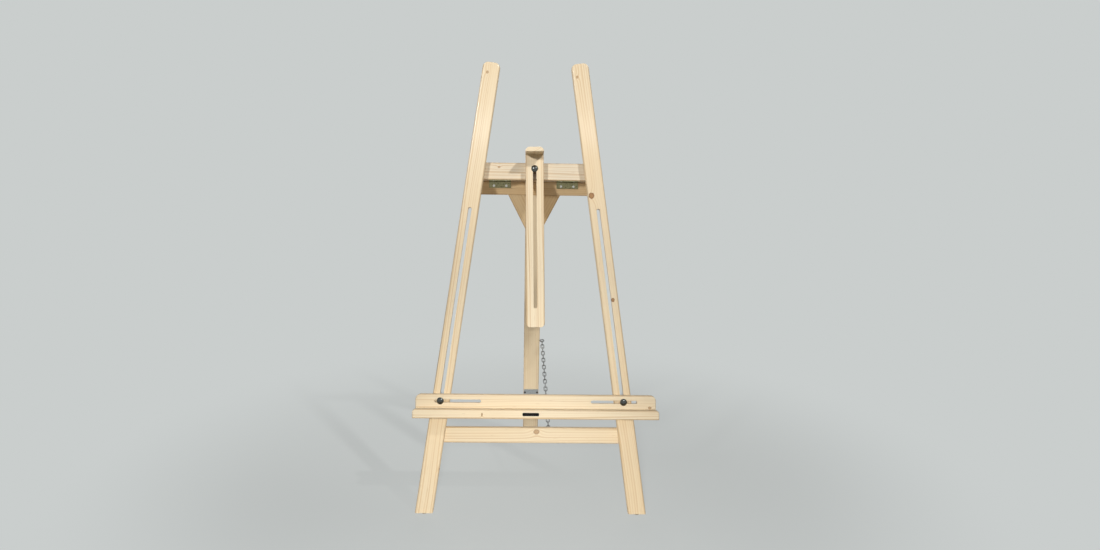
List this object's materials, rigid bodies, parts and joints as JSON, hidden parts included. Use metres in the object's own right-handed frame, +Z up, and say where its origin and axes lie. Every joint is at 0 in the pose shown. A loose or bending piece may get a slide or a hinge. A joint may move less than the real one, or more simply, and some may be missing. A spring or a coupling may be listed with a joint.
{
  "type": "artist easel",
  "caption": "Folding wooden A-frame artist easel with splayed slotted legs, sliding canvas tray, height-adjustable mast with top hook, and a chain-limited rear leg.",
  "frame": {"origin": "on the floor, under the middle of the bounding box of the easel as it stands open", "axes": "+Z up, +X to the right as seen from the front, the front with the tray faces -Y"},
  "size_m": [0.657, 0.609, 1.1982],
  "materials": {
    "pine": "clear satin",
    "bolt": "polished",
    "zinc": "zinc plated",
    "hinge": "yellow passivated",
    "screw": "plated",
    "pad": "matte",
    "label": "gloss, blank"
  },
  "bodies": {
    "front_frame": {"left_leg": "pine", "right_leg": "pine", "left_foot_pad": "pad", "right_foot_pad": "pad", "upper_crossbar": "pine", "lower_crossbar": "pine", "crossbar_screws": "screw", "hinge_frame_screws": "screw", "frame_chain_eye": "zinc", "left_hinge_frame_leaf": "hinge", "right_hinge_frame_leaf": "hinge", "left_hinge_pin": "hinge", "right_hinge_pin": "hinge"},
    "rear_support": {"rear_leg": "pine", "head_rail": "pine", "left_corner_block": "pine", "right_corner_block": "pine", "head_rail_screws": "screw", "left_hinge_leg_leaf": "hinge", "right_hinge_leg_leaf": "hinge", "hinge_leg_screws": "screw", "strap_plate": "zinc", "strap_screws": "screw", "leg_chain_eye": "zinc", "rear_foot_pad": "pad"},
    "mast_clamp": {"mast_bolt": "bolt", "mast_washer": "zinc"},
    "mast": {"mast_board": "pine", "mast_hook": "pine", "hook_screws": "screw"},
    "mast_nut": {"mast_wing_nut": "zinc"},
    "tray": {"tray_board": "pine", "tray_lip": "pine", "lip_screws": "screw", "blank_plate": "label"},
    "left_clamp": {"left_tray_bolt": "bolt", "left_tray_washer": "zinc"},
    "left_nut": {"left_tray_wing_nut": "zinc"},
    "right_clamp": {"right_tray_bolt": "bolt", "right_tray_washer": "zinc"},
    "right_nut": {"right_tray_wing_nut": "zinc"},
    "chain_a": {"chain_lower_run": "zinc"},
    "chain_b": {"chain_lower_bend": "zinc"},
    "chain_c": {"chain_upper_bend": "zinc"},
    "chain_d": {"chain_upper_run": "zinc"}
  },
  "joints": [
    {"name": "rear_fold", "type": "hinge", "parent": "front_frame", "child": "rear_support", "pos_m": [0, -0.04471, 0.87135], "axis": [-1, 0, 0], "range_deg": [0, 34.5], "deforming": ["chain_upper_run"]},
    {"name": "mast_swivel", "type": "hinge", "parent": "front_frame", "child": "mast_clamp", "pos_m": [-0.0108, -0.07756, 0.91324], "axis": [0, -0.9703, 0.2419], "range_deg": [-10, 10]},
    {"name": "mast_slide", "type": "slide", "parent": "mast_clamp", "child": "mast", "axis": [-0.0175, 0.2419, 0.9701], "range_m": [0, 0.3767]},
    {"name": "mast_nut_turn", "type": "hinge", "parent": "mast_clamp", "child": "mast_nut", "pos_m": [-0.0108, -0.07756, 0.91324], "axis": [0, 0.9703, -0.2419], "continuous": true},
    {"name": "tray_slide", "type": "slide", "parent": "front_frame", "child": "tray", "axis": [0, 0.2419, 0.9703], "range_m": [0, 0.5205]},
    {"name": "left_clamp_slide", "type": "slide", "parent": "tray", "child": "left_clamp", "axis": [1, 0, 0], "range_m": [0, 0.0713]},
    {"name": "right_clamp_slide", "type": "slide", "parent": "tray", "child": "right_clamp", "axis": [-1, 0, 0], "range_m": [0, 0.0713]},
    {"name": "left_nut_turn", "type": "hinge", "parent": "left_clamp", "child": "left_nut", "pos_m": [-0.2576, -0.23113, 0.2973], "axis": [0, 0.9703, -0.2419], "continuous": true},
    {"name": "right_nut_turn", "type": "hinge", "parent": "right_clamp", "child": "right_nut", "pos_m": [0.236, -0.23113, 0.2973], "axis": [0, 0.9703, -0.2419], "continuous": true},
    {"name": "chain_at_frame", "type": "hinge", "parent": "front_frame", "child": "chain_a", "pos_m": [0.0372, -0.19842, 0.19082], "axis": [-1, 0, 0], "range_deg": [-0.5, 115.33]},
    {"name": "chain_bend_1", "type": "hinge", "parent": "chain_a", "child": "chain_b", "pos_m": [0.03339, -0.11277, 0.23037], "axis": [-1, 0, 0], "range_deg": [-33.82, 0.5]},
    {"name": "chain_bend_2", "type": "hinge", "parent": "chain_b", "child": "chain_c", "pos_m": [0.03212, -0.08413, 0.24359], "axis": [-1, 0, 0], "range_deg": [-119.98, 0.5]},
    {"name": "chain_bend_3", "type": "hinge", "parent": "chain_c", "child": "chain_d", "pos_m": [0.03085, -0.05549, 0.25681], "axis": [-1, 0, 0], "range_deg": [-28.93, 0.5]}
  ],
  "couplings": [
    {"joint": "left_clamp_slide", "follows": "tray_slide", "ratio": 0.13609},
    {"joint": "right_clamp_slide", "follows": "tray_slide", "ratio": 0.13609},
    {"joint": "chain_at_frame", "follows": "rear_fold", "ratio": 3.3285},
    {"joint": "chain_bend_1", "follows": "rear_fold", "ratio": -0.9657},
    {"joint": "chain_bend_2", "follows": "rear_fold", "ratio": -3.4631},
    {"joint": "chain_bend_3", "follows": "rear_fold", "ratio": -0.82408}
  ]
}
